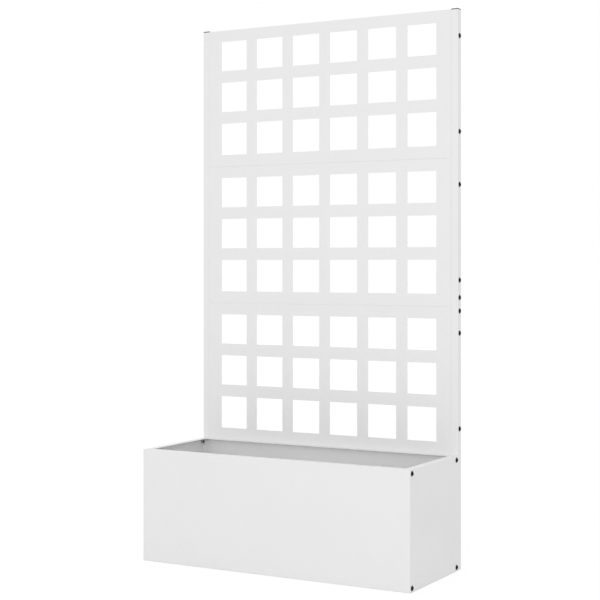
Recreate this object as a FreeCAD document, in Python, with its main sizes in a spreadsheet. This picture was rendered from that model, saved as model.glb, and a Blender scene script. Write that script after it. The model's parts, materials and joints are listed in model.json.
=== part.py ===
import FreeCAD
import Part
import Sketcher
import math
import os

# A planter box with a lattice trellis, in millimetres.
#
# The box is five folded sheet panels. Two square-tube posts stand behind it, down to the ground, and each
# comes in two lengths that meet on an inner sleeve. Three punched lattice panels are screwed between the
# posts, one above the other, and a push-in cap closes the top of each post.
#
# X runs across the width, the front faces -Y and the ground is Z = 0. The origin is on the ground, under
# the middle of the whole object, screw heads included.

SIZES = (
    ("planter_width", 800, "across the outer faces of the side panels and of the posts"),
    ("box_depth", 298, "front face of the box to the front of the posts"),
    ("box_height", 303, "ground to rim"),
    ("sheet", 0.6, "thickness of every folded panel"),
    ("bend_inside", 0.3, "inside radius of the bends in the box panels"),
    ("flange_width", 20, "in-turned flanges of the box panels, which make the rim"),
    ("panel_gap", 0.05, "between two box panels that are screwed together"),
    ("mitre_gap", 0.3, "between two mitred flanges, measured along the rim"),
    ("corner_relief", 3.5, "height of the cut-out where two flanges of one panel meet"),
    ("base_gap", 0.4, "between the base and the bends around it"),
    ("lip_height", 15, "up-turned edges of the base"),
    ("lip_room", 2, "from the end of a lip to the flange beside it"),
    ("drain_diameter", 10, "drainage holes in the base"),
    ("drain_pitch", 150, "between drainage holes along the base"),
    ("drain_row_pitch", 130, "between the two rows of drainage holes"),
    ("post_size", 20, "outside of the square post tube"),
    ("post_wall", 1, "wall of the post tube"),
    ("post_corner", 1, "outside corner radius of the post tube"),
    ("post_inside_corner", 0.3, "inside corner radius of the post tube"),
    ("joint_rise", 6.3, "from the joint of two lattice panels up to the joint in the post"),
    ("sleeve_length", 80, "inner sleeve that joins two post lengths"),
    ("sleeve_wall", 1.2, "wall of the inner sleeve"),
    ("sleeve_gap", 0.2, "between sleeve and post, on each side"),
    ("sleeve_corner", 0.8, "outside corner radius of the sleeve"),
    ("sleeve_inside_corner", 0.3, "inside corner radius of the sleeve"),
    ("cap_height", 2.5, "part of the cap that shows above the post"),
    ("cap_edge", 0.7, "rounding of the cap's upper edge"),
    ("cap_plug", 14, "depth of the cap inside the post"),
    ("cap_wall", 1.5, "wall of the cap's hollow plug"),
    ("cap_gap", 0.1, "between plug and post, on each side"),
    ("cap_plug_corner", 1, "outside corner radius of the plug"),
    ("lattice_height", 393, "one lattice panel"),
    ("lattice_drop", 0.2, "how far the lowest panel starts below the rim of the box"),
    ("lattice_rise", 0.8, "how far the highest panel ends above the post tubes, beside the caps"),
    ("lattice_flange", 18, "back-turned edges of a lattice panel"),
    ("lattice_bend_inside", 0.2, "inside radius of the bends in a lattice panel"),
    ("lattice_gap", 0.05, "between a lattice panel and each post"),
    ("lattice_side_border", 42.45, "panel edge to the first column of windows"),
    ("lattice_top_border", 32.7, "panel edge to the upper row of windows"),
    ("lattice_low_border", 33.5, "panel edge to the lower row of windows"),
    ("bar_width", 33.6, "between two windows"),
    ("low_row_extra", 6, "how much taller the lower row of windows is"),
    ("window_corner", 1.5, "corner radius of a window"),
    ("screw_diameter", 6, "shank of every screw"),
    ("screw_point", 0.8, "chamfer at the end of a screw"),
    ("screw_proud", 1.5, "how far a screw stands out of its nut"),
    ("collar_diameter", 13.6, "collar under the screw's button head"),
    ("collar_height", 1, "collar under the screw's button head"),
    ("collar_edge", 0.5, "rounding of the collar's upper edge"),
    ("dome_diameter", 10.6, "button head, where it meets the collar"),
    ("head_height", 3.3, "collar and button head together"),
    ("head_flat", 5.6, "diameter of the flat on top of the head"),
    ("socket_width", 4, "hexagon socket, across its flats"),
    ("socket_depth", 2, "hexagon socket"),
    ("hole_clearance", 0.3, "between a shank and the hole it passes through, all round"),
    ("nut_width", 10, "hexagon nut, across its flats"),
    ("nut_height", 5, "hexagon nut"),
    ("thread_gap", 0.05, "between a shank and the bore of its nut, all round"),
    ("nut_room", 4.1, "between a corner nut and the flange above or below it"),
    ("lattice_screw_inset", 70, "from the upper and lower edge of a lattice panel"),
    ("sleeve_screw_offset", 17.75, "from the joint in a post to the screw above and below it"),
    ("post_screw_inset", 60, "from the ground and from the rim to the screws that hold a post"),
)

WINDOW_COLUMNS = 6
DRAIN_COLUMNS = 5
HEXAGON = 6
LATTICE_NAMES = ("lattice_bottom", "lattice_middle", "lattice_top")
LEFT = -1
RIGHT = 1
SIDES = ((LEFT, "left"), (RIGHT, "right"))
TOUCHING = 1e-4

document = FreeCAD.newDocument("PlanterWithTrellis")
sheet_of_sizes = document.addObject("Spreadsheet::Sheet", "Sizes")
for row, (alias, number, meaning) in enumerate(SIZES, start=1):
    sheet_of_sizes.set(f"A{row}", meaning)
    sheet_of_sizes.set(f"B{row}", str(number))
    sheet_of_sizes.setAlias(f"B{row}", alias)
document.recompute()


class Length:
    """A length that carries its formula, for expressions, beside its value, for first guesses."""

    def __init__(self, formula, value):
        self.formula = formula
        self.value = value

    @staticmethod
    def of(other):
        return other if isinstance(other, Length) else Length(repr(other), other)

    def __add__(self, other):
        other = Length.of(other)
        return Length(f"({self.formula} + {other.formula})", self.value + other.value)

    def __sub__(self, other):
        other = Length.of(other)
        return Length(f"({self.formula} - {other.formula})", self.value - other.value)

    def __mul__(self, other):
        other = Length.of(other)
        return Length(f"({self.formula} * {other.formula})", self.value * other.value)

    def __truediv__(self, other):
        other = Length.of(other)
        return Length(f"({self.formula} / {other.formula})", self.value / other.value)

    def __neg__(self):
        return self * -1

    def root(self):
        return Length(f"sqrt({self.formula})", math.sqrt(self.value))


def size(alias):
    return Length(f"Sizes.{alias}", float(getattr(sheet_of_sizes, alias)))


# ---------------------------------------------------------------- sizes that follow from the driving ones

NOTHING = Length("0", 0.0)
sheet = size("sheet")
bend_outside = size("bend_inside") + sheet
flange_width = size("flange_width")
box_depth = size("box_depth")
box_height = size("box_height")
post_size = size("post_size")
half_post = post_size / 2
lattice_height = size("lattice_height")
mitre_half_gap = size("mitre_gap") / 2

outer_side = size("planter_width") / 2
front_y = -(box_depth + post_size + size("head_height")) / 2
post_y = front_y + box_depth
lattice_base = box_height - size("lattice_drop")
post_top = lattice_base + lattice_height * len(LATTICE_NAMES) - size("lattice_rise")
joint_height = lattice_base + lattice_height + size("joint_rise")

side_inset = sheet + size("panel_gap")
wide_panel_width = size("planter_width") - side_inset * 2
base_inset_x = side_inset + bend_outside + size("base_gap")
base_inset_y = bend_outside + size("base_gap")
base_width = size("planter_width") - base_inset_x * 2
base_depth = box_depth - base_inset_y * 2

lattice_width = size("planter_width") - (post_size + size("lattice_gap")) * 2
window_width = (
    lattice_width - size("lattice_side_border") * 2 - size("bar_width") * (WINDOW_COLUMNS - 1)
) / WINDOW_COLUMNS
window_pitch = window_width + size("bar_width")
window_height = (
    lattice_height
    - size("lattice_top_border")
    - size("lattice_low_border")
    - size("bar_width") * 2
    - size("low_row_extra")
) / 3
low_window_height = window_height + size("low_row_extra")

shank_radius = size("screw_diameter") / 2
hole_radius = shank_radius + size("hole_clearance")
nut_corner_radius = size("nut_width") / math.sqrt(3)
corner_screw_inset = sheet + nut_corner_radius + size("nut_room")
corner_screw_depth = flange_width / 2
nut_and_end = size("nut_height") + size("screw_proud")
corner_stack = side_inset + sheet
lattice_stack = post_size + size("lattice_gap") + sheet
sleeve_stack = size("post_wall") + size("sleeve_gap") + size("sleeve_wall")
post_stack = post_size + sheet


# ---------------------------------------------------------------- sketches and features


def new_body(label):
    body = document.addObject("PartDesign::Body", label)
    body.Label = label
    return body


def new_sketch(body, role, offset=None):
    """A sketch on one of the body's own planes, moved by offset along the plane's normal."""
    plane = next(feature for feature in body.Origin.OriginFeatures if feature.Role == role)
    sketch = body.newObject("Sketcher::SketchObject", f"{body.Label}_sketch")
    sketch.AttachmentSupport = [(plane, "")]
    sketch.MapMode = "FlatFace"
    if offset is not None:
        sketch.setExpression("AttachmentOffset.Base.z", offset.formula)
    return sketch


def bind(sketch, constraint, name, length):
    index = sketch.addConstraint(constraint)
    sketch.renameConstraint(index, name)
    sketch.setExpression(f"Constraints.{name}", length.formula)


def draw_loop(sketch, points, arcs=None):
    """Closes the points with lines. arcs maps the number of a point to the (centre, radius) of the arc
    that leaves it for the next point; every arc is under half a circle."""
    arcs = arcs or {}
    vectors = [FreeCAD.Vector(x.value, y.value, 0) for x, y in points]
    first = sketch.GeometryCount
    starts = []
    ends = []
    for number, start in enumerate(vectors):
        end = vectors[(number + 1) % len(vectors)]
        if number not in arcs:
            index = sketch.addGeometry(Part.LineSegment(start, end), False)
            starts.append((index, 1))
            ends.append((index, 2))
            continue
        (centre_x, centre_y), radius = arcs[number]
        centre = FreeCAD.Vector(centre_x.value, centre_y.value, 0)
        start_angle = math.atan2(start.y - centre.y, start.x - centre.x)
        end_angle = math.atan2(end.y - centre.y, end.x - centre.x)
        runs_forward = (end_angle - start_angle) % (2 * math.pi) < math.pi
        low, high = (start_angle, end_angle) if runs_forward else (end_angle, start_angle)
        circle = Part.Circle(centre, FreeCAD.Vector(0, 0, 1), radius.value)
        index = sketch.addGeometry(Part.ArcOfCircle(circle, low, high), False)
        starts.append((index, 1 if runs_forward else 2))
        ends.append((index, 2 if runs_forward else 1))
        bind(sketch, Sketcher.Constraint("Radius", index, radius.value), f"radius_{index}", radius)
    for number, (x, y) in enumerate(points):
        index, end_of_line = starts[number]
        sketch.addConstraint(Sketcher.Constraint("Coincident", *ends[number - 1], index, end_of_line))
        across = Sketcher.Constraint("DistanceX", -1, 1, index, end_of_line, x.value)
        along = Sketcher.Constraint("DistanceY", -1, 1, index, end_of_line, y.value)
        bind(sketch, across, f"across_{first + number}", x)
        bind(sketch, along, f"along_{first + number}", y)


def draw_rectangle(sketch, low_x, low_y, high_x, high_y):
    draw_loop(sketch, [(low_x, low_y), (high_x, low_y), (high_x, high_y), (low_x, high_y)])


def draw_rounded_rectangle(sketch, low_x, low_y, high_x, high_y, radius):
    left = low_x + radius
    right = high_x - radius
    bottom = low_y + radius
    top = high_y - radius
    points = [
        (left, low_y),
        (right, low_y),
        (high_x, bottom),
        (high_x, top),
        (right, high_y),
        (left, high_y),
        (low_x, top),
        (low_x, bottom),
    ]
    arcs = {
        1: ((right, bottom), radius),
        3: ((right, top), radius),
        5: ((left, top), radius),
        7: ((left, bottom), radius),
    }
    draw_loop(sketch, points, arcs)


def draw_circle(sketch, x, y, radius):
    centre = FreeCAD.Vector(x.value, y.value, 0)
    index = sketch.addGeometry(Part.Circle(centre, FreeCAD.Vector(0, 0, 1), radius.value), False)
    bind(sketch, Sketcher.Constraint("Radius", index, radius.value), f"radius_{index}", radius)
    across = Sketcher.Constraint("DistanceX", -1, 1, index, 3, x.value)
    along = Sketcher.Constraint("DistanceY", -1, 1, index, 3, y.value)
    bind(sketch, across, f"across_{index}", x)
    bind(sketch, along, f"along_{index}", y)


def pad(body, sketch, length, reverse=False):
    feature = body.newObject("PartDesign::Pad", f"{body.Label}_pad")
    feature.Profile = sketch
    feature.Reversed = reverse
    feature.setExpression("Length", length.formula)
    document.recompute()
    return feature


def pocket(body, sketch, length, reverse=False):
    """Cuts against the sketch's normal, or along it with reverse. A pocket must cut something."""
    volume_before = body.Tip.Shape.Volume
    feature = body.newObject("PartDesign::Pocket", f"{body.Label}_pocket")
    feature.Profile = sketch
    feature.Reversed = reverse
    feature.setExpression("Length", length.formula)
    document.recompute()
    if feature.Shape.isNull() or feature.Shape.Volume >= volume_before:
        raise RuntimeError(f"a pocket of {body.Label} cuts nothing")
    return feature


def repeat_along_x(body, feature, count, pitch):
    pattern = body.newObject("PartDesign::LinearPattern", f"{body.Label}_pattern")
    pattern.Originals = [feature]
    x_axis = next(axis for axis in body.Origin.OriginFeatures if axis.Role == "X_Axis")
    pattern.Direction = (x_axis, [""])
    pattern.Occurrences = count
    pattern.setExpression("Length", (pitch * (count - 1)).formula)
    body.Tip = pattern
    document.recompute()
    return pattern


def fillet(body, is_chosen, radius):
    """Rounds the edges of the last feature whose bounding boxes pass the test."""
    base = body.Tip
    chosen = [f"Edge{n}" for n, edge in enumerate(base.Shape.Edges, start=1) if is_chosen(edge.BoundBox)]
    feature = body.newObject("PartDesign::Fillet", f"{body.Label}_fillet")
    feature.Base = (base, chosen)
    feature.setExpression("Radius", radius.formula)
    document.recompute()
    return feature


def place(part, x, y, z, rotation=None):
    part.Placement = FreeCAD.Placement(FreeCAD.Vector(), rotation or FreeCAD.Rotation())
    for axis, length in zip("xyz", (x, y, z)):
        part.setExpression(f"Placement.Base.{axis}", length.formula)


def turned(x_to, y_to, z_to):
    """The rotation that carries a part's own axes onto the given directions."""
    return FreeCAD.Rotation(FreeCAD.Vector(*x_to), FreeCAD.Vector(*y_to), FreeCAD.Vector(*z_to), "ZXY")


FLANGES_TO_BACK = turned((-1, 0, 0), (0, 0, 1), (0, 1, 0))
FLANGES_TO_FRONT = turned((1, 0, 0), (0, 0, 1), (0, -1, 0))
FLANGES_TO_RIGHT = turned((0, 1, 0), (0, 0, 1), (1, 0, 0))
FLANGES_TO_LEFT = turned((0, -1, 0), (0, 0, 1), (-1, 0, 0))
HEAD_TO_SIDE = {
    LEFT: turned((0, 0, 1), (0, 1, 0), (-1, 0, 0)),
    RIGHT: turned((0, 0, -1), (0, 1, 0), (1, 0, 0)),
}
HEAD_TO_BACK = turned((1, 0, 0), (0, 0, -1), (0, 1, 0))


# ---------------------------------------------------------------- folded panels
# A folded panel lies face down in its own frame: the outer face is z = 0, its width runs along x and its
# height along y, and the flanges stand up to z = depth.


def folded_panel(label, width, height, depth, bend_inside, has_side_flanges=True):
    body = new_body(label)
    outline = new_sketch(body, "XY_Plane")
    draw_rectangle(outline, NOTHING, NOTHING, width, height)
    pad(body, outline, depth)

    def is_outer_bend(box):
        is_on_face = box.ZMax < TOUCHING
        return is_on_face and (has_side_flanges or box.YLength < TOUCHING)

    fillet(body, is_outer_bend, bend_inside + sheet)

    hollow = new_sketch(body, "XY_Plane", depth)
    side_wall = sheet if has_side_flanges else NOTHING
    draw_rectangle(hollow, side_wall, sheet, width - side_wall, height - sheet)
    pocket(body, hollow, depth - sheet)

    def is_inner_bend(box):
        is_on_inside = abs(box.ZMin - sheet.value) < TOUCHING and abs(box.ZMax - sheet.value) < TOUCHING
        return is_on_inside and (has_side_flanges or box.YLength < TOUCHING)

    fillet(body, is_inner_bend, bend_inside)
    return body


def cut_corners(body, height, relief, left_points, width):
    """Cuts the same outline, seen along the panel's height, out of all four corners of the flanges."""
    right_points = [(width - x, z) for x, z in left_points]
    for offset, reverse in ((None, False), (-height, True)):
        sketch = new_sketch(body, "XZ_Plane", offset)
        draw_loop(sketch, left_points)
        draw_loop(sketch, right_points)
        pocket(body, sketch, relief, reverse)


def drill_side_flanges(body, heights, depth, width):
    """Drills through both side flanges at once."""
    sketch = new_sketch(body, "YZ_Plane")
    for height in heights:
        draw_circle(sketch, height, depth, hole_radius)
    pocket(body, sketch, width, reverse=True)


def drill_face(body, places):
    sketch = new_sketch(body, "XY_Plane")
    for x, y in places:
        draw_circle(sketch, x, y, hole_radius)
    pocket(body, sketch, sheet, reverse=True)


def corner_screw_heights():
    return (corner_screw_inset, box_height - corner_screw_inset)


def post_screw_heights():
    return (size("post_screw_inset"), box_height - size("post_screw_inset"))


def wide_box_panel(label):
    """The front or back panel: flanges all round, mitred where the side panels' flanges meet them."""
    body = folded_panel(label, wide_panel_width, box_height, flange_width, size("bend_inside"))
    start = side_inset - mitre_half_gap
    mitre = [(NOTHING, start), (NOTHING, flange_width), (flange_width - start, flange_width)]
    cut_corners(body, box_height, size("corner_relief"), mitre, wide_panel_width)
    drill_side_flanges(body, corner_screw_heights(), corner_screw_depth, wide_panel_width)
    return body


def make_front_panel():
    body = wide_box_panel("front_panel")
    place(body, wide_panel_width / 2, front_y, NOTHING, FLANGES_TO_BACK)
    return body


def make_back_panel():
    body = wide_box_panel("back_panel")
    near_post = half_post - side_inset
    columns = (near_post, wide_panel_width - near_post)
    drill_face(body, [(x, y) for x in columns for y in post_screw_heights()])
    place(body, -wide_panel_width / 2, post_y, NOTHING, FLANGES_TO_FRONT)
    return body


def make_side_panel(side, side_name):
    """Flanges along the top and bottom only: the front and back panels bring the upright ones."""
    body = folded_panel(
        f"side_panel_{side_name}", box_depth, box_height, flange_width, size("bend_inside"), False
    )
    mitre = [
        (NOTHING, sheet),
        (sheet + mitre_half_gap, sheet),
        (flange_width + mitre_half_gap, flange_width),
        (NOTHING, flange_width),
    ]
    cut_corners(body, box_height, size("corner_relief"), mitre, box_depth)
    columns = (corner_screw_depth, box_depth - corner_screw_depth)
    drill_face(body, [(x, y) for x in columns for y in corner_screw_heights()])
    if side == LEFT:
        place(body, -outer_side, front_y, NOTHING, FLANGES_TO_RIGHT)
    else:
        place(body, outer_side, post_y, NOTHING, FLANGES_TO_LEFT)
    return body


def make_base_panel():
    """A tray on the bottom flanges of the box, with its lips cut away round the corner nuts."""
    height = size("lip_height") + sheet
    body = folded_panel("base_panel", base_width, base_depth, height, size("bend_inside"))
    setback = flange_width + size("lip_room")
    notch = [(NOTHING, bend_outside), (setback, bend_outside), (setback, height), (NOTHING, height)]
    cut_corners(body, base_depth, setback, notch, base_width)
    sketch = new_sketch(body, "XY_Plane")
    first_x = (base_width - size("drain_pitch") * (DRAIN_COLUMNS - 1)) / 2
    first_y = (base_depth - size("drain_row_pitch")) / 2
    for y in (first_y, first_y + size("drain_row_pitch")):
        draw_circle(sketch, first_x, y, size("drain_diameter") / 2)
    first_holes = pocket(body, sketch, sheet, reverse=True)
    repeat_along_x(body, first_holes, DRAIN_COLUMNS, size("drain_pitch"))
    place(body, -base_width / 2, front_y + base_inset_y, sheet)
    return body


def lattice_bottom_edge(number):
    return lattice_base + lattice_height * number


def make_lattice(number, label):
    """A sheet punched with square windows, its four edges turned back."""
    bend_inside = size("lattice_bend_inside")
    depth = size("lattice_flange")
    body = folded_panel(label, lattice_width, lattice_height, depth, bend_inside)
    relief = size("corner_relief")
    outer_bend = bend_inside + sheet
    notch = [(NOTHING, outer_bend), (relief, outer_bend), (relief, depth), (NOTHING, depth)]
    cut_corners(body, lattice_height, relief, notch, lattice_width)
    inset = size("lattice_screw_inset")
    drill_side_flanges(body, (inset, lattice_height - inset), half_post, lattice_width)

    column = new_sketch(body, "XY_Plane")
    left = size("lattice_side_border")
    low = size("lattice_low_border")
    for height in (low_window_height, window_height, window_height):
        draw_rounded_rectangle(column, left, low, left + window_width, low + height, size("window_corner"))
        low = low + height + size("bar_width")
    first_column = pocket(body, column, sheet, reverse=True)
    repeat_along_x(body, first_column, WINDOW_COLUMNS, window_pitch)
    place(body, lattice_width / 2, post_y, lattice_bottom_edge(number), FLANGES_TO_BACK)
    return body


# ---------------------------------------------------------------- posts, sleeves and caps
# A tube stands up from z = 0 in its own frame, with one corner of its section at the origin.


def square_tube(label, width, length, wall, corner, inside_corner):
    body = new_body(label)
    section = new_sketch(body, "XY_Plane")
    draw_rounded_rectangle(section, NOTHING, NOTHING, width, width, corner)
    inner = width - wall
    draw_rounded_rectangle(section, wall, wall, inner, inner, inside_corner)
    pad(body, section, length)
    return body


def drill_across(body, heights, from_x, length):
    """Drills along X through the middle of a post, from from_x on."""
    sketch = new_sketch(body, "YZ_Plane", from_x)
    for height in heights:
        draw_circle(sketch, half_post, height, hole_radius)
    pocket(body, sketch, length, reverse=True)


def drill_front_to_back(body, heights):
    sketch = new_sketch(body, "XZ_Plane")
    for height in heights:
        draw_circle(sketch, half_post, height, hole_radius)
    pocket(body, sketch, post_size)


def post_x(side):
    """The X of a post's corner with the lowest X."""
    return -outer_side if side == LEFT else outer_side - post_size


def outer_wall_start(side):
    """Where the outer half of a post starts, across the post."""
    return NOTHING if side == LEFT else half_post


def lattice_screw_heights():
    heights = []
    for number in range(len(LATTICE_NAMES)):
        low = lattice_bottom_edge(number)
        heights.append(low + size("lattice_screw_inset"))
        heights.append(low + lattice_height - size("lattice_screw_inset"))
    return heights


def make_post(label, side, low, high, sleeve_hole):
    """A length of post, drilled for the screws of the lattice panels beside it and of its sleeve."""
    body = square_tube(
        label, post_size, high - low, size("post_wall"), size("post_corner"), size("post_inside_corner")
    )
    lattice_holes = [z - low for z in lattice_screw_heights() if low.value < z.value < high.value]
    drill_across(body, lattice_holes, NOTHING, post_size)
    drill_across(body, [sleeve_hole - low], outer_wall_start(side), half_post)
    place(body, post_x(side), post_y, low)
    return body


def make_lower_post(side, side_name):
    sleeve_hole = joint_height - size("sleeve_screw_offset")
    body = make_post(f"lower_post_{side_name}", side, NOTHING, joint_height, sleeve_hole)
    drill_front_to_back(body, post_screw_heights())
    return body


def make_upper_post(side, side_name):
    sleeve_hole = joint_height + size("sleeve_screw_offset")
    return make_post(f"upper_post_{side_name}", side, joint_height, post_top, sleeve_hole)


def make_sleeve(side, side_name):
    inset = size("post_wall") + size("sleeve_gap")
    width = post_size - inset * 2
    length = size("sleeve_length")
    body = square_tube(
        f"post_sleeve_{side_name}",
        width,
        length,
        size("sleeve_wall"),
        size("sleeve_corner"),
        size("sleeve_inside_corner"),
    )
    start = NOTHING if side == LEFT else width / 2
    sketch = new_sketch(body, "YZ_Plane", start)
    for offset in (-size("sleeve_screw_offset"), size("sleeve_screw_offset")):
        draw_circle(sketch, width / 2, length / 2 + offset, hole_radius)
    pocket(body, sketch, width / 2, reverse=True)
    place(body, post_x(side) + inset, post_y + inset, joint_height - length / 2)
    return body


def make_cap(side, side_name):
    """A plate as wide as the post with rounded upper edges, and a hollow plug under it."""
    body = new_body(f"post_cap_{side_name}")
    plate = new_sketch(body, "XY_Plane")
    draw_rounded_rectangle(plate, NOTHING, NOTHING, post_size, post_size, size("post_corner"))
    pad(body, plate, size("cap_height"))
    fillet(body, lambda box: box.ZMin > size("cap_height").value - TOUCHING, size("cap_edge"))
    plug = new_sketch(body, "XY_Plane")
    outer = size("post_wall") + size("cap_gap")
    inner = outer + size("cap_wall")
    far = post_size - outer
    draw_rounded_rectangle(plug, outer, outer, far, far, size("cap_plug_corner"))
    draw_rectangle(plug, inner, inner, post_size - inner, post_size - inner)
    pad(body, plug, size("cap_plug"), reverse=True)
    place(body, post_x(side), post_y, post_top)
    return body


# ---------------------------------------------------------------- screws and nuts
# One screw of each length and one nut are drawn once, and every group links to them. A screw stands on the
# plane z = 0 of its own frame with its head up, and a nut lies on that plane.


def draw_screw(label, length):
    """A button head on a collar. The dome is part of a sphere whose centre lies on the axis."""
    body = new_body(label)
    profile = new_sketch(body, "XZ_Plane")
    point = size("screw_point")
    collar_radius = size("collar_diameter") / 2
    collar_height = size("collar_height")
    edge = size("collar_edge")
    dome_radius = size("dome_diameter") / 2
    flat_radius = size("head_flat") / 2
    height = size("head_height")
    rise = height * height - collar_height * collar_height
    centre = (rise + flat_radius * flat_radius - dome_radius * dome_radius) / ((height - collar_height) * 2)
    drop = collar_height - centre
    sphere_radius = (dome_radius * dome_radius + drop * drop).root()
    points = [
        (NOTHING, -length),
        (shank_radius - point, -length),
        (shank_radius, point - length),
        (shank_radius, NOTHING),
        (collar_radius, NOTHING),
        (collar_radius, collar_height - edge),
        (collar_radius - edge, collar_height),
        (dome_radius, collar_height),
        (flat_radius, height),
        (NOTHING, height),
    ]
    arcs = {
        5: ((collar_radius - edge, collar_height - edge), edge),
        7: ((NOTHING, centre), sphere_radius),
    }
    draw_loop(profile, points, arcs)
    turn = body.newObject("PartDesign::Revolution", f"{label}_turn")
    turn.Profile = profile
    turn.ReferenceAxis = (profile, ["V_Axis"])
    turn.Angle = 360
    document.recompute()
    socket = new_sketch(body, "XY_Plane", height)
    draw_hexagon(socket, size("socket_width"))
    pocket(body, socket, size("socket_depth"))
    return body


def draw_hexagon(sketch, width):
    corner_radius = width / math.sqrt(3)
    corners = []
    for number in range(HEXAGON):
        angle = 2 * math.pi * number / HEXAGON
        corners.append((corner_radius * math.cos(angle), corner_radius * math.sin(angle)))
    draw_loop(sketch, corners)


def draw_nut(label):
    body = new_body(label)
    section = new_sketch(body, "XY_Plane")
    draw_hexagon(section, size("nut_width"))
    draw_circle(section, NOTHING, NOTHING, shank_radius + size("thread_gap"))
    pad(body, section, size("nut_height"))
    return body


def group(label, source, places, rotation):
    """A named node of separate, identical fasteners."""
    links = []
    for number, (x, y, z) in enumerate(places, start=1):
        link = document.addObject("App::Link", f"{label}_{number}")
        link.LinkedObject = source
        place(link, x, y, z, rotation)
        links.append(link)
    compound = document.addObject("Part::Compound", label)
    compound.Label = label
    compound.Links = links
    return compound


def make_fasteners():
    nut = draw_nut("nut")
    corner_screw = draw_screw("corner_screw", corner_stack + nut_and_end)
    lattice_screw = draw_screw("lattice_screw", lattice_stack + nut_and_end)
    sleeve_screw = draw_screw("sleeve_screw", sleeve_stack + nut_and_end)
    post_screw = draw_screw("post_screw", post_stack + nut_and_end)
    post_middle_y = post_y + half_post
    offset = size("sleeve_screw_offset")
    side_groups = (
        (
            "box",
            corner_screw,
            corner_stack,
            [
                (y, z)
                for y in (front_y + corner_screw_depth, post_y - corner_screw_depth)
                for z in corner_screw_heights()
            ],
        ),
        ("lattice", lattice_screw, lattice_stack, [(post_middle_y, z) for z in lattice_screw_heights()]),
        (
            "sleeve",
            sleeve_screw,
            sleeve_stack,
            [(post_middle_y, joint_height - offset), (post_middle_y, joint_height + offset)],
        ),
    )
    groups = []
    for side, side_name in SIDES:
        for name, screw, stack, places in side_groups:
            screw_x = outer_side * side
            nut_x = (outer_side - stack - size("nut_height")) * side
            screws = [(screw_x, y, z) for y, z in places]
            nuts = [(nut_x, y, z) for y, z in places]
            groups.append(group(f"{name}_screws_{side_name}", screw, screws, HEAD_TO_SIDE[side]))
            groups.append(group(f"{name}_nuts_{side_name}", nut, nuts, HEAD_TO_SIDE[side]))
        x = (outer_side - half_post) * side
        screw_y = post_y + post_size
        nut_y = post_y - sheet - size("nut_height")
        screws = [(x, screw_y, z) for z in post_screw_heights()]
        nuts = [(x, nut_y, z) for z in post_screw_heights()]
        groups.append(group(f"post_screws_{side_name}", post_screw, screws, HEAD_TO_BACK))
        groups.append(group(f"post_nuts_{side_name}", nut, nuts, HEAD_TO_BACK))
    return groups


# ---------------------------------------------------------------- the whole object


def make_parts():
    parts = [make_front_panel(), make_back_panel(), make_base_panel()]
    for number, label in enumerate(LATTICE_NAMES):
        parts.append(make_lattice(number, label))
    for side, side_name in SIDES:
        parts.append(make_side_panel(side, side_name))
        parts.append(make_lower_post(side, side_name))
        parts.append(make_upper_post(side, side_name))
        parts.append(make_sleeve(side, side_name))
        parts.append(make_cap(side, side_name))
    parts.extend(make_fasteners())
    return parts


def check(parts):
    for thing in document.Objects:
        if "Invalid" in thing.State or "Error" in thing.State:
            raise RuntimeError(f"{thing.Label} failed: {thing.State}")
    for part in parts:
        if part.Shape.isNull() or not part.Shape.isValid():
            raise RuntimeError(f"{part.Label} has no valid shape")


def write(parts):
    os.makedirs("parts", exist_ok=True)
    for part in parts:
        part.Shape.exportStep(os.path.join("parts", f"{part.Label}.step"))
        print(part.Label, "solids", len(part.Shape.Solids), "volume", round(part.Shape.Volume, 1))


all_parts = make_parts()
document.recompute()
check(all_parts)
write(all_parts)
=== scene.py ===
"""Looks of a white sheet-metal planter box with a lattice screen: finishes, fasteners, light and camera.

Everything is in metres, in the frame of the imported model: X across the width, Y to the back, Z up.
"""

import collections
import json
import math
import random

import bmesh
import bpy
from mathutils import Matrix, Vector


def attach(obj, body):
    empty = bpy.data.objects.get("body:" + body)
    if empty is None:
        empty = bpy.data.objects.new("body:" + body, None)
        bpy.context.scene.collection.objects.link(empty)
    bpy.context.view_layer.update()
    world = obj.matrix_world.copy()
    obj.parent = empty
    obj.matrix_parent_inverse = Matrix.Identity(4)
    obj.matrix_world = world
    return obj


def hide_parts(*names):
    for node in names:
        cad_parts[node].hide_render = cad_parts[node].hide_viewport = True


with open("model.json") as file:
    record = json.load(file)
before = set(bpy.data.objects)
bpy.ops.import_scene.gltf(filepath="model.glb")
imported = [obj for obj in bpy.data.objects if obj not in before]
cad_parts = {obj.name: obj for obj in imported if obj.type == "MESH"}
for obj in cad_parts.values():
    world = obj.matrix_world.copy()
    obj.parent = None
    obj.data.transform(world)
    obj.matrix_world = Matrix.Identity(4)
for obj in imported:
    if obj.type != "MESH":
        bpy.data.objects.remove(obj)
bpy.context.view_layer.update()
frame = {"nodes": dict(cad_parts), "record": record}
nodes = frame["nodes"]

# The camera, found from the straight edges in the photograph, which is 600 pixels wide and high
PHOTO_SIDE_PX = 600
FOCAL_LENGTH_PX = 1427.555
HORIZON_ROW_PX = 262.839
CAMERA_PLACE = (1.880424, -3.347546, 0.811456)
CAMERA_TURN_DEG = 29.3347
SENSOR_WIDTH_MM = 36

# A white sky, and one soft lamp in front
SKY_LEVEL = 0.93
LAMP_PLACE = (1.1, -4.0, 1.15)
LAMP_AIM = (0, 0, 0.8)
LAMP_WIDTH = 1.6
LAMP_HEIGHT = 1.2
LAMP_WATTS = 25

# The floor, and how far it is lifted to white for what sees it directly
FLOOR_SIDE = 60.0
FLOOR_COLOUR = (0.78, 0.78, 0.78, 1)
FLOOR_WHITE_SHARE = 0.72
FLOOR_WHITE_LEVEL = 1.12
PURE_WHITE = (1, 1, 1, 1)

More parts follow.
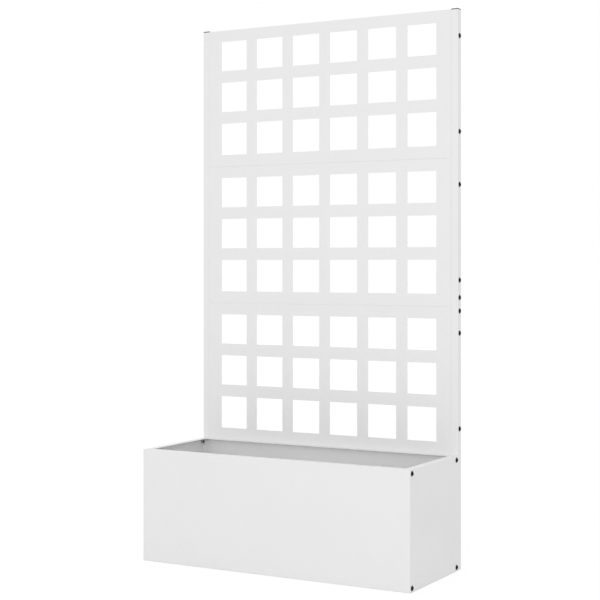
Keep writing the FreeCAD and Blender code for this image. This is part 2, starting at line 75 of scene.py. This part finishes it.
# Colours of the finishes, linear
WHITE_COAT = (0.836, 0.836, 0.836, 1)
THIN_COAT = (0.72, 0.72, 0.71, 1)
DUST = (0.60, 0.57, 0.52, 1)
BLACK_OXIDE = (0.006, 0.006, 0.0065, 1)
RUBBED_STEEL = (0.06, 0.06, 0.06, 1)
BLACK_PLASTIC = (0.014, 0.014, 0.014, 1)
SCUFFED_PLASTIC = (0.06, 0.06, 0.06, 1)
BRIGHT_ZINC = (0.66, 0.66, 0.64, 1)
DULL_ZINC = (0.48, 0.49, 0.50, 1)

# The 6 mm screws. The crest and a flank of the thread take these shares of half a pitch.
SHANK_RADIUS = 0.003
THREAD_LENGTH = 0.012
THREAD_PITCH = 0.001
THREAD_DEPTH = 0.00055
CREST_SHARE = 0.15
FLANK_SHARE = 0.65
HEAD_HEIGHT = 0.0033
COLLAR_HEIGHT = 0.001
COLLAR_EDGE = 0.0005
COLLAR_TAPER = COLLAR_EDGE / 3
DOME_RADIUS = 0.0053
FLAT_RADIUS = 0.0028
SOCKET_WIDTH = 0.004
SOCKET_DEPTH = 0.002
SOCKET_CHAMFER = 0.0002
SCREW_TURN_SEED = 11

# Their nuts. A nut's flat face is round, and as wide as this share of the width across the flats.
NUT_BORE_RADIUS = 0.00305
NUT_BORE_CHAMFER = 0.0004
NUT_FACE_SHARE = 0.96
NUT_CHAMFER_DEG = 30

# How finely the fasteners are drawn
HEXAGON = 6
ROUND_SIDES = 48
SHANK_SIDES = 24
RINGS_PER_PITCH = 6
DOME_STEPS = 6
EDGE_STEPS = 3
SHARP_EDGE_DEG = 32
SAME_POINT = 1e-6

# The sockets for colours on a Mix node go by number, because its sockets for values have the same names
FIRST_COLOUR = 6
SECOND_COLOUR = 7
MIXED_COLOUR = 2

# Rays that a node casts to look for edges and corners
SEARCH_RAYS = 4


# ------------------------------------------------------------------------------------------- shader trees
def add_node(tree, kind, inputs=None, **settings):
    """A node with its settings. An input is given by name or number, as a value or as a socket to link."""
    made = tree.nodes.new(kind)
    for name, value in settings.items():
        setattr(made, name, value)
    for name, value in (inputs or {}).items():
        if isinstance(value, bpy.types.NodeSocket):
            tree.links.new(value, made.inputs[name])
        else:
            made.inputs[name].default_value = value
    return made


def calculate(tree, operation, first, second=0.0):
    return add_node(tree, "ShaderNodeMath", {0: first, 1: second}, operation=operation).outputs[0]


def spread(tree, value, source, target=(0.0, 1.0)):
    """A value that runs over the source range, spread over the target range and clamped to it."""
    made = add_node(tree, "ShaderNodeMapRange", {
        "Value": value,
        "From Min": source[0],
        "From Max": source[1],
        "To Min": target[0],
        "To Max": target[1],
    })
    return made.outputs[0]


def mix_colours(tree, share, first, second):
    sockets = {"Factor": share, FIRST_COLOUR: first, SECOND_COLOUR: second}
    return add_node(tree, "ShaderNodeMix", sockets, data_type="RGBA").outputs[MIXED_COLOUR]


def tinted(tree, colour, other, mask, most):
    """A colour that goes over to another one where a mask is 1, by at most a share."""
    return mix_colours(tree, calculate(tree, "MULTIPLY", mask, most), colour, other)


def noise(tree, per_metre, detail=2.0, roughness=0.5, offset=0.0):
    """Noise in the object's own space: per_metre is how many waves there are in a metre."""
    place = add_node(tree, "ShaderNodeTexCoord").outputs["Object"]
    if offset:
        shift = {0: place, 1: (offset, offset, offset)}
        place = add_node(tree, "ShaderNodeVectorMath", shift, operation="ADD").outputs[0]
    made = add_node(tree, "ShaderNodeTexNoise", {
        "Vector": place,
        "Scale": per_metre,
        "Detail": detail,
        "Roughness": roughness,
    })
    return made.outputs[0]


def new_group(name, inputs, outputs):
    """A shader node group with named inputs, each with its usual value, and named outputs."""
    tree = bpy.data.node_groups.new(name, "ShaderNodeTree")
    for socket_name, usual in inputs.items():
        socket = tree.interface.new_socket(socket_name, in_out="INPUT", socket_type="NodeSocketFloat")
        socket.default_value = usual
    for socket_name in outputs:
        tree.interface.new_socket(socket_name, in_out="OUTPUT", socket_type="NodeSocketFloat")
    entry = add_node(tree, "NodeGroupInput")
    return tree, entry.outputs


def place_group(tree, group, **values):
    """A group in a material, with its own values. An underscore stands for a space in a socket's name."""
    inputs = {name.replace("_", " "): value for name, value in values.items()}
    return add_node(tree, "ShaderNodeGroup", inputs, node_tree=group).outputs


# ------------------------------------------------------------------------------------------- shared effects
def make_surface_grain():
    """Waves and grain of a coated, plated or moulded surface: a height, a tone and specks from 0 to 1."""
    inputs = {"Waves": 400.0, "Grain": 2500.0, "Grain Share": 0.3}
    tree, entry = new_group("surface_grain", inputs, ["Height", "Tone", "Specks"])
    patches_per_wave = 0.02
    waves = noise(tree, entry["Waves"], detail=1.5)
    grain = noise(tree, entry["Grain"], roughness=0.6, offset=3.7)
    height = add_node(tree, "ShaderNodeMix", {"Factor": entry["Grain Share"], "A": waves, "B": grain})
    patches_per_metre = calculate(tree, "MULTIPLY", entry["Waves"], patches_per_wave)
    patches = noise(tree, patches_per_metre, detail=3.0, roughness=0.55, offset=9.1)
    add_node(tree, "NodeGroupOutput", {
        "Height": height.outputs[0],
        "Tone": spread(tree, patches, (0.3, 0.7)),
        "Specks": spread(tree, grain, (0.52, 0.75)),
    })
    return tree


def make_edge_wear():
    """How much an edge is rubbed, from 0 on a flat to 1 on a sharp edge, broken up by noise."""
    tree, entry = new_group("edge_wear", {"Radius": 0.0004, "Breaks": 300.0}, ["Mask"])
    rounded = add_node(tree, "ShaderNodeBevel", {"Radius": entry["Radius"]}, samples=SEARCH_RAYS)
    flat = add_node(tree, "ShaderNodeNewGeometry")
    both_ways = {0: rounded.outputs[0], 1: flat.outputs["Normal"]}
    likeness = add_node(tree, "ShaderNodeVectorMath", both_ways, operation="DOT_PRODUCT").outputs["Value"]
    edge = spread(tree, likeness, (0.995, 0.85))
    breaks = noise(tree, entry["Breaks"], detail=3.0, roughness=0.6, offset=5.3)
    broken = spread(tree, breaks, (0.35, 0.6))
    add_node(tree, "NodeGroupOutput", {"Mask": calculate(tree, "MULTIPLY", edge, broken)})
    return tree


def make_settled_dust():
    """Dust on surfaces that face up, from 0 to 1, thicker in corners."""
    tree, entry = new_group("settled_dust", {"Patches": 25.0, "Corner Reach": 0.03}, ["Mask"])
    flat = add_node(tree, "ShaderNodeNewGeometry")
    upright = add_node(tree, "ShaderNodeSeparateXYZ", {0: flat.outputs["Normal"]})
    facing_up = spread(tree, upright.outputs["Z"], (0.5, 0.95))
    reach = {"Distance": entry["Corner Reach"]}
    openness = add_node(tree, "ShaderNodeAmbientOcclusion", reach, samples=SEARCH_RAYS).outputs["AO"]
    corner = spread(tree, openness, (1.0, 0.4), (0.25, 1.0))
    patches = noise(tree, entry["Patches"], detail=4.0, roughness=0.6, offset=7.9)
    patchy = spread(tree, patches, (0.35, 0.7), (0.3, 1.0))
    dust = calculate(tree, "MULTIPLY", calculate(tree, "MULTIPLY", facing_up, corner), patchy)
    add_node(tree, "NodeGroupOutput", {"Mask": dust})
    return tree


SURFACE_GRAIN = make_surface_grain()
EDGE_WEAR = make_edge_wear()
SETTLED_DUST = make_settled_dust()


# ------------------------------------------------------------------------------------------- finishes
def new_material(name):
    """A material with an empty tree."""
    material = bpy.data.materials.new(name)
    material.use_nodes = True
    material.node_tree.nodes.clear()
    return material, material.node_tree


def finish_with(tree, shader):
    """Links a shader node to the material's surface."""
    add_node(tree, "ShaderNodeOutputMaterial", {"Surface": shader.outputs[0]})


def raised(tree, height, depth, edge_radius=None):
    """A normal for a height whose whole range is depth. An edge radius makes sharp edges look rounded."""
    inputs = {"Height": height, "Distance": depth, "Strength": 1.0}
    if edge_radius:
        rounded = add_node(tree, "ShaderNodeBevel", {"Radius": edge_radius}, samples=SEARCH_RAYS)
        inputs["Normal"] = rounded.outputs[0]
    return add_node(tree, "ShaderNodeBump", inputs).outputs[0]


def white_powder_coat():
    """Satin white with a fine orange peel, a little thinner over the sheared edges."""
    material, tree = new_material("white_powder_coat")
    grain = place_group(tree, SURFACE_GRAIN, Waves=420.0, Grain=2400.0, Grain_Share=0.25)
    worn = place_group(tree, EDGE_WEAR, Radius=0.0003, Breaks=260.0)
    dust = place_group(tree, SETTLED_DUST, Patches=22.0, Corner_Reach=0.03)
    colour = tinted(tree, WHITE_COAT, THIN_COAT, grain["Tone"], most=0.08)
    colour = tinted(tree, colour, THIN_COAT, grain["Specks"], most=0.3)
    colour = tinted(tree, colour, THIN_COAT, worn["Mask"], most=0.35)
    colour = tinted(tree, colour, DUST, dust["Mask"], most=0.10)
    finish_with(tree, add_node(tree, "ShaderNodeBsdfPrincipled", {
        "Base Color": colour,
        "Roughness": spread(tree, grain["Tone"], (0.0, 1.0), (0.40, 0.48)),
        "Normal": raised(tree, grain["Height"], depth=0.00006, edge_radius=0.0002),
    }))
    return material


def black_oxide():
    """Blackened steel, rubbed a little at the socket and along the collar."""
    material, tree = new_material("black_oxide_steel")
    grain = place_group(tree, SURFACE_GRAIN, Waves=1500.0, Grain=9000.0, Grain_Share=0.5)
    worn = place_group(tree, EDGE_WEAR, Radius=0.0002, Breaks=900.0)
    finish_with(tree, add_node(tree, "ShaderNodeBsdfPrincipled", {
        "Base Color": tinted(tree, BLACK_OXIDE, RUBBED_STEEL, worn["Mask"], most=0.5),
        "Roughness": spread(tree, grain["Tone"], (0.0, 1.0), (0.42, 0.55)),
        "Specular IOR Level": 0.18,
        "Normal": raised(tree, grain["Height"], depth=0.00001),
    }))
    return material


def moulded_plastic():
    """Matt black plastic with a fine spark-eroded grain, paler where an edge is scuffed."""
    material, tree = new_material("moulded_black_plastic")
    grain = place_group(tree, SURFACE_GRAIN, Waves=1800.0, Grain=6000.0, Grain_Share=0.7)
    worn = place_group(tree, EDGE_WEAR, Radius=0.0003, Breaks=700.0)
    finish_with(tree, add_node(tree, "ShaderNodeBsdfPrincipled", {
        "Base Color": tinted(tree, BLACK_PLASTIC, SCUFFED_PLASTIC, worn["Mask"], most=0.4),
        "Roughness": spread(tree, grain["Tone"], (0.0, 1.0), (0.55, 0.68)),
        "Specular IOR Level": 0.4,
        "Normal": raised(tree, grain["Height"], depth=0.00004),
    }))
    return material


def zinc_plate():
    """Zinc-plated steel: bright metal with duller patches, bright again along its edges."""
    material, tree = new_material("zinc_plated_steel")
    grain = place_group(tree, SURFACE_GRAIN, Waves=900.0, Grain=7000.0, Grain_Share=0.5)
    worn = place_group(tree, EDGE_WEAR, Radius=0.0003, Breaks=800.0)
    colour = mix_colours(tree, grain["Tone"], BRIGHT_ZINC, DULL_ZINC)
    finish_with(tree, add_node(tree, "ShaderNodeBsdfPrincipled", {
        "Base Color": tinted(tree, colour, BRIGHT_ZINC, worn["Mask"], most=0.6),
        "Metallic": 1.0,
        "Roughness": spread(tree, grain["Tone"], (0.0, 1.0), (0.26, 0.42)),
        "Normal": raised(tree, grain["Height"], depth=0.000012),
    }))
    return material


FINISHES = {
    "white_coat": white_powder_coat(),
    "black_screw": black_oxide(),
    "black_plastic": moulded_plastic(),
    "zinc_steel": zinc_plate(),
}


# ------------------------------------------------------------------------------------------- fasteners
# A fastener is drawn round its own Z axis as rings of points, which are then skinned.


def ring(radius, height, sides=ROUND_SIDES):
    """Points round the axis. The radius is a number or a function of the angle, and so is the height."""
    points = []
    for number in range(sides):
        angle = math.tau * number / sides
        r = radius(angle) if callable(radius) else radius
        z = height(angle) if callable(height) else height
        points.append(Vector((r * math.cos(angle), r * math.sin(angle), z)))
    return points


def hexagon_radius(angle, across_flats):
    """From the middle of a hexagon to its side, at an angle. A corner lies at angle zero."""
    sector = math.tau / HEXAGON
    from_corner = abs((angle + sector / 2) % sector - sector / 2)
    return across_flats / 2 / math.cos(sector / 2 - from_corner)


def thread_radius(angle, height):
    """A ridge that climbs one pitch each turn, with flats at its crest and root."""
    along_pitch = (height / THREAD_PITCH - angle / math.tau) % 1
    from_crest = abs(2 * along_pitch - 1)
    sunk = min(1, max(0, (from_crest - CREST_SHARE) / FLANK_SHARE))
    return SHANK_RADIUS - THREAD_DEPTH * sunk


def shank_rings(length):
    """Rings up a shank to the head's underside, chamfered at its point and threaded at that end."""
    thread = min(length, THREAD_LENGTH)
    rings = [ring(SHANK_RADIUS - THREAD_DEPTH, -length, SHANK_SIDES)]
    count = round(thread / THREAD_PITCH * RINGS_PER_PITCH)
    for number in range(1, count):
        from_point = thread * number / count
        height = from_point - length
        widest = SHANK_RADIUS - max(0, THREAD_DEPTH - from_point)
        rings.append(ring(lambda angle: min(thread_radius(angle, height), widest), height, SHANK_SIDES))
    if length > THREAD_LENGTH:
        rings.append(ring(SHANK_RADIUS, THREAD_LENGTH - length, SHANK_SIDES))
    rings.append(ring(SHANK_RADIUS, 0, SHANK_SIDES))
    return rings


def collar_rings(radius):
    """Rings up a collar from height zero, which tapers to its foot, and over its rounded edge."""
    rings = [ring(radius - COLLAR_TAPER, 0)]
    for step in range(EDGE_STEPS + 1):
        turn = math.pi / 2 * step / EDGE_STEPS
        inward = COLLAR_EDGE * (1 - math.cos(turn))
        down = COLLAR_EDGE * (1 - math.sin(turn))
        rings.append(ring(radius - inward, COLLAR_HEIGHT - down))
    return rings


def dome_rings():
    """Rings up a part of a sphere, from the top of the collar to the flat on the head."""
    rise = HEAD_HEIGHT ** 2 - COLLAR_HEIGHT ** 2 + FLAT_RADIUS ** 2 - DOME_RADIUS ** 2
    centre = rise / (2 * (HEAD_HEIGHT - COLLAR_HEIGHT))
    sphere_radius = math.hypot(DOME_RADIUS, COLLAR_HEIGHT - centre)
    low_turn = math.atan2(COLLAR_HEIGHT - centre, DOME_RADIUS)
    high_turn = math.atan2(HEAD_HEIGHT - centre, FLAT_RADIUS)
    rings = []
    for step in range(DOME_STEPS + 1):
        turn = low_turn + (high_turn - low_turn) * step / DOME_STEPS
        rings.append(ring(sphere_radius * math.cos(turn), centre + sphere_radius * math.sin(turn)))
    return rings


def socket_rings():
    """Rings down into a hexagon socket from the top of the head, with a chamfer round its mouth."""
    def mouth(angle):
        return hexagon_radius(angle, SOCKET_WIDTH + 2 * SOCKET_CHAMFER)

    def wall(angle):
        return hexagon_radius(angle, SOCKET_WIDTH)

    return [
        ring(mouth, HEAD_HEIGHT),
        ring(wall, HEAD_HEIGHT - SOCKET_CHAMFER),
        ring(wall, HEAD_HEIGHT - SOCKET_DEPTH),
    ]


def nut_rings(across_flats, height):
    """Rings from a nut's bore round its outside and back. It lies on height zero, chamfered on both faces."""
    bore_edge = NUT_BORE_RADIUS + NUT_BORE_CHAMFER
    face_radius = across_flats / 2 * NUT_FACE_SHARE
    slope = math.tan(math.radians(NUT_CHAMFER_DEG))

    def side(angle):
        return hexagon_radius(angle, across_flats)

    def drop(angle):
        return (side(angle) - face_radius) * slope

    return [
        ring(NUT_BORE_RADIUS, NUT_BORE_CHAMFER),
        ring(bore_edge, 0),
        ring(face_radius, 0),
        ring(side, drop),
        ring(side, lambda angle: height - drop(angle)),
        ring(face_radius, height),
        ring(bore_edge, height),
        ring(NUT_BORE_RADIUS, height - NUT_BORE_CHAMFER),
    ]


def add_rings(mesh, rings, place, joined_ends=False):
    """Skins rings of points that a matrix carries to their place. The ends are closed, or joined together.

    A ring has as many points as the one before it, or a whole number of times as many.
    """
    made = [[mesh.verts.new(place @ point) for point in points] for points in rings]
    pairs = list(zip(made, made[1:]))
    if joined_ends:
        pairs.append((made[-1], made[0]))
    for lower, upper in pairs:
        times = len(upper) // len(lower)
        for number in range(len(lower)):
            above = [upper[(number * times + step) % len(upper)] for step in range(times + 1)]
            mesh.faces.new((lower[number], lower[(number + 1) % len(lower)], *reversed(above)))
    if not joined_ends:
        mesh.faces.new(reversed(made[0]))
        mesh.faces.new(made[-1])


def loose_solids(node):
    """The lowest and highest corners of each separate solid of a CAD node, in a fixed order."""
    mesh = bmesh.new()
    mesh.from_mesh(nodes[node].data)
    bmesh.ops.remove_doubles(mesh, verts=mesh.verts, dist=SAME_POINT)
    left = set(mesh.verts)
    boxes = []
    while left:
        waiting = [left.pop()]
        found = []
        while waiting:
            vertex = waiting.pop()
            found.append(tuple(vertex.co))
            for edge in vertex.link_edges:
                other = edge.other_vert(vertex)
                if other in left:
                    left.remove(other)
                    waiting.append(other)
        boxes.append(tuple(tuple(pick(axis) for axis in zip(*found)) for pick in (min, max)))
    mesh.free()
    return [(Vector(low), Vector(high)) for low, high in sorted(boxes)]


def outward(node):
    """The way a fastener's head points: to the left, to the right or to the back."""
    if node.startswith("post_"):
        return Vector((0, 1, 0))
    return Vector((-1, 0, 0)) if node.endswith("_left") else Vector((1, 0, 0))


# A side of a box: its length, and the way it points
Side = collections.namedtuple("Side", "length way")


def across_and_along(low, high, axis):
    """The middle of a box, its length along an axis, and its shorter and longer sides across the axis."""
    extent = high - low
    along = abs(extent.dot(axis))
    ways = [way for way in Matrix.Identity(3) if not way.dot(axis)]
    shorter, longer = sorted(Side(extent.dot(way), tuple(way)) for way in ways)
    return (low + high) / 2, along, shorter, longer


def carried_to(start, axis, corner):
    """The matrix that puts a fastener's Z on the axis, its X on the corner and its origin at start."""
    turn = Matrix((corner, axis.cross(corner), axis)).transposed()
    return Matrix.Translation(start) @ turn.to_4x4()


def finish_piece(name, mesh, node, slot):
    """Makes the object, shades it, and has it stand for a CAD node."""
    data = bpy.data.meshes.new(name)
    bmesh.ops.recalc_face_normals(mesh, faces=mesh.faces)
    mesh.to_mesh(data)
    mesh.free()
    data.polygons.foreach_set("use_smooth", [True] * len(data.polygons))
    data.set_sharp_from_angle(angle=math.radians(SHARP_EDGE_DEG))
    data.materials.append(FINISHES[slot])
    piece = bpy.data.objects.new(name, data)
    bpy.context.scene.collection.objects.link(piece)
    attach(piece, "root")
    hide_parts(node)


def make_screws(node, turns):
    """Screws with a collar, a socket and a thread in the places of a CAD node's plain ones."""
    axis = outward(node)
    mesh = bmesh.new()
    for low, high in loose_solids(node):
        middle, length, _, collar = across_and_along(low, high, axis)
        start = middle + axis * (length / 2 - HEAD_HEIGHT)
        spin = Matrix.Rotation(turns.uniform(0, math.tau / HEXAGON), 4, "Z")
        head = collar_rings(collar.length / 2) + dome_rings() + socket_rings()
        place = carried_to(start, axis, Vector(collar.way)) @ spin
        add_rings(mesh, shank_rings(length - HEAD_HEIGHT) + head, place)
    finish_piece(f"threaded_{node}", mesh, node, "black_screw")


def make_nuts(node):
    """Chamfered nuts in the places of a CAD node's plain ones."""
    axis = outward(node)
    mesh = bmesh.new()
    for low, high in loose_solids(node):
        middle, height, across_flats, across_corners = across_and_along(low, high, axis)
        place = carried_to(middle - axis * height / 2, axis, Vector(across_corners.way))
        add_rings(mesh, nut_rings(across_flats.length, height), place, joined_ends=True)
    finish_piece(f"chamfered_{node}", mesh, node, "zinc_steel")


def dress_nodes():
    """Gives each CAD node its finish, and each group of fasteners its detailed stand-in."""
    turns = random.Random(SCREW_TURN_SEED)
    for part in frame["record"]["subparts"]:
        name = part["node"]
        nodes[name].data.materials.clear()
        nodes[name].data.materials.append(FINISHES[part["material_slot"]])
        if "_screws_" in name:
            make_screws(name, turns)
        elif "_nuts_" in name:
            make_nuts(name)


# ------------------------------------------------------------------------------------------- stage and light
def seen_directly(tree):
    """1 for a ray from the camera, a mirror-like surface or a clear one, else 0."""
    path = add_node(tree, "ShaderNodeLightPath").outputs
    camera_or_gloss = calculate(tree, "MAXIMUM", path["Is Camera Ray"], path["Is Glossy Ray"])
    return calculate(tree, "MAXIMUM", camera_or_gloss, path["Is Transmission Ray"])


def make_world():
    """A pale sky that lights the object, and is plain white to what sees it directly."""
    world = bpy.data.worlds.new("studio")
    bpy.context.scene.world = world
    world.use_nodes = True
    tree = world.node_tree
    tree.nodes.clear()
    level = spread(tree, seen_directly(tree), (0.0, 1.0), (SKY_LEVEL, 1.0))
    background = add_node(tree, "ShaderNodeBackground", {"Color": PURE_WHITE, "Strength": level})
    add_node(tree, "ShaderNodeOutputWorld", {"Surface": background.outputs[0]})


def outside_the_box(tree):
    """0 on the ground that the planter box stands on, else 1."""
    side = max(corner[0] for corner in nodes["side_panel_right"].bound_box)
    front = min(corner[1] for corner in nodes["front_panel"].bound_box)
    back = max(corner[1] for corner in nodes["side_panel_right"].bound_box)
    position = add_node(tree, "ShaderNodeNewGeometry").outputs["Position"]
    place = add_node(tree, "ShaderNodeSeparateXYZ", {0: position}).outputs
    beside = calculate(tree, "GREATER_THAN", calculate(tree, "ABSOLUTE", place["X"]), side)
    before = calculate(tree, "LESS_THAN", place["Y"], front)
    behind = calculate(tree, "GREATER_THAN", place["Y"], back)
    return calculate(tree, "MAXIMUM", beside, calculate(tree, "MAXIMUM", before, behind))


def floor_finish():
    """A pale floor that keeps the shadow. In the open it is lifted to white for what sees it directly."""
    material, tree = new_material("studio_floor")
    matt = add_node(tree, "ShaderNodeBsdfDiffuse", {"Color": FLOOR_COLOUR})
    glow = add_node(tree, "ShaderNodeEmission", {"Color": PURE_WHITE, "Strength": FLOOR_WHITE_LEVEL})
    in_the_open = calculate(tree, "MULTIPLY", outside_the_box(tree), FLOOR_WHITE_SHARE)
    share = calculate(tree, "MULTIPLY", seen_directly(tree), in_the_open)
    shaders = {0: share, 1: matt.outputs[0], 2: glow.outputs[0]}
    finish_with(tree, add_node(tree, "ShaderNodeMixShader", shaders))
    return material


def make_floor():
    half = FLOOR_SIDE / 2
    corners = [(-half, -half, 0), (half, -half, 0), (half, half, 0), (-half, half, 0)]
    mesh = bpy.data.meshes.new("floor")
    mesh.from_pydata(corners, [], [range(len(corners))])
    mesh.materials.append(floor_finish())
    floor = bpy.data.objects.new("floor", mesh)
    bpy.context.scene.collection.objects.link(floor)


def make_soft_lamp():
    """A rectangular lamp that faces the object."""
    data = bpy.data.lights.new("key", "AREA")
    data.shape = "RECTANGLE"
    data.size = LAMP_WIDTH
    data.size_y = LAMP_HEIGHT
    data.energy = LAMP_WATTS
    lamp = bpy.data.objects.new("key", data)
    bpy.context.scene.collection.objects.link(lamp)
    lamp.location = LAMP_PLACE
    lamp.rotation_euler = (Vector(LAMP_AIM) - Vector(LAMP_PLACE)).to_track_quat("-Z", "Y").to_euler()
    lamp.visible_camera = False


def make_camera():
    """The photograph's view, level, with the horizon off the middle by a shift."""
    data = bpy.data.cameras.new("camera")
    data.sensor_width = SENSOR_WIDTH_MM
    data.lens = FOCAL_LENGTH_PX / PHOTO_SIDE_PX * SENSOR_WIDTH_MM
    data.shift_y = (HORIZON_ROW_PX - PHOTO_SIDE_PX / 2) / PHOTO_SIDE_PX
    camera = bpy.data.objects.new("camera", data)
    bpy.context.scene.collection.objects.link(camera)
    camera.location = CAMERA_PLACE
    camera.rotation_euler = (math.radians(90), 0, math.radians(CAMERA_TURN_DEG))
    bpy.context.scene.camera = camera


# ------------------------------------------------------------------------------------------- the scene
dress_nodes()
make_world()
make_floor()
make_soft_lamp()
make_camera()
bpy.context.scene.view_settings.view_transform = "Standard"
